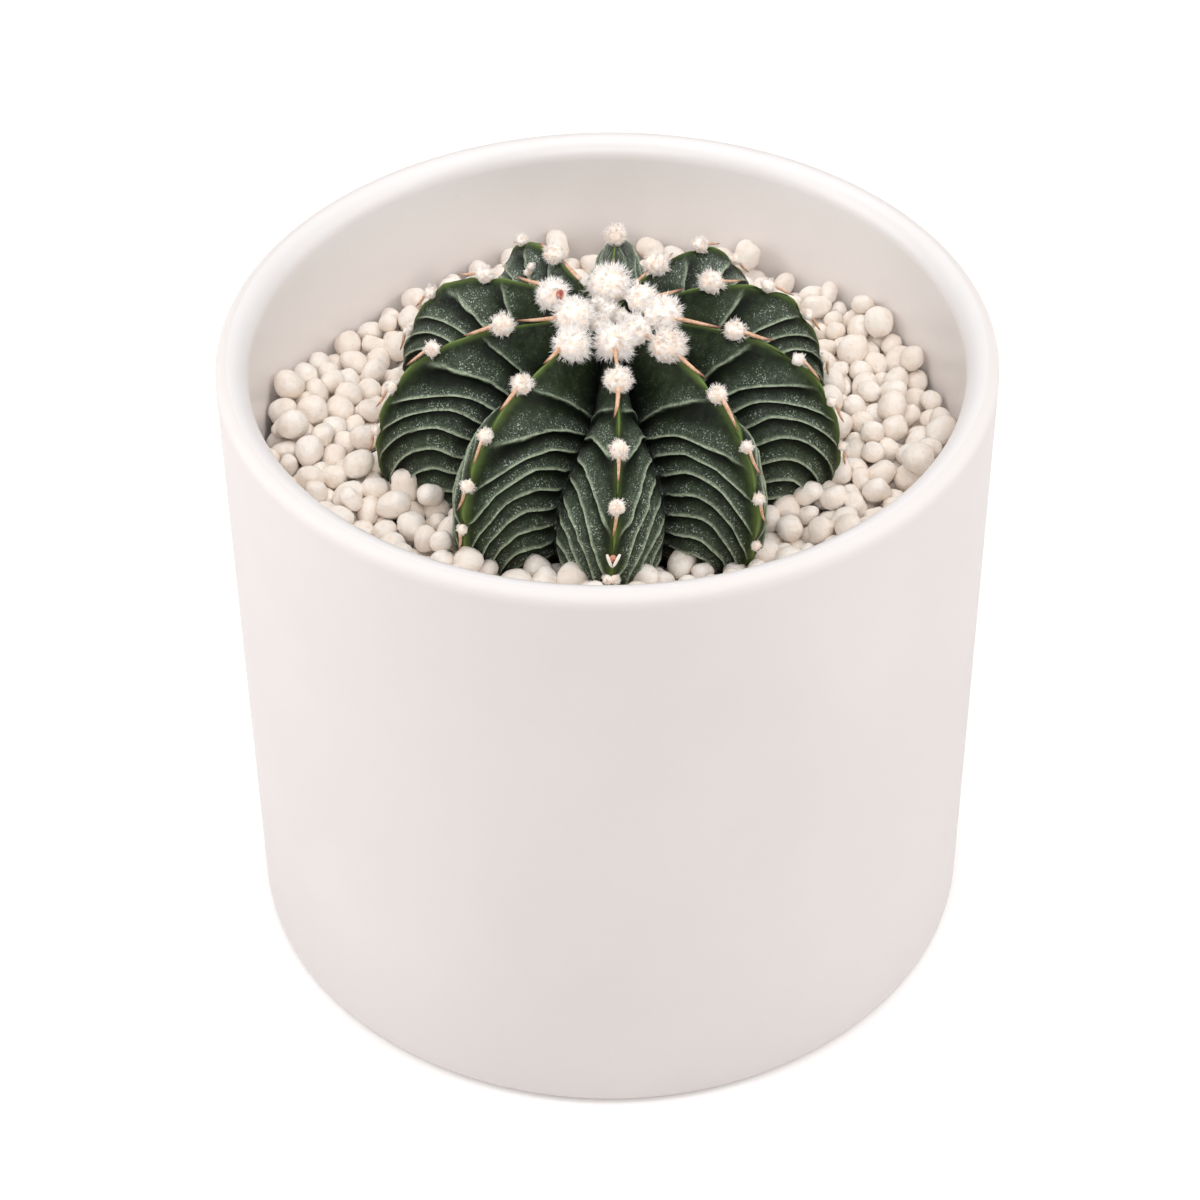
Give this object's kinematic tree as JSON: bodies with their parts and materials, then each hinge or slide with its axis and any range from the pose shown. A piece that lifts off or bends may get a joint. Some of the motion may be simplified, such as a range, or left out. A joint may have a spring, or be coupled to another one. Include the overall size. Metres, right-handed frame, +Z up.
{
  "type": "potted round cactus",
  "caption": "Round ribbed cactus with banded flanks, woolly areoles and spines, standing in cream pebbles in a straight white ceramic pot.",
  "frame": {"origin": "centre of the pot's foot, on the surface that it stands on", "axes": "+Z up along the pot's axis, -Y towards the picture's camera, +X to the picture's right"},
  "size_m": [0.12, 0.12, 0.1175],
  "materials": {
    "pot": "satin",
    "soil": "matte",
    "pebbles": "matte",
    "cactus": "satin",
    "crown_wool": "matte"
  },
  "bodies": {
    "root": {"pot": "pot", "soil": "soil", "pebbles": "pebbles", "cactus": "cactus", "crown_wool": "crown_wool"}
  },
  "joints": []
}
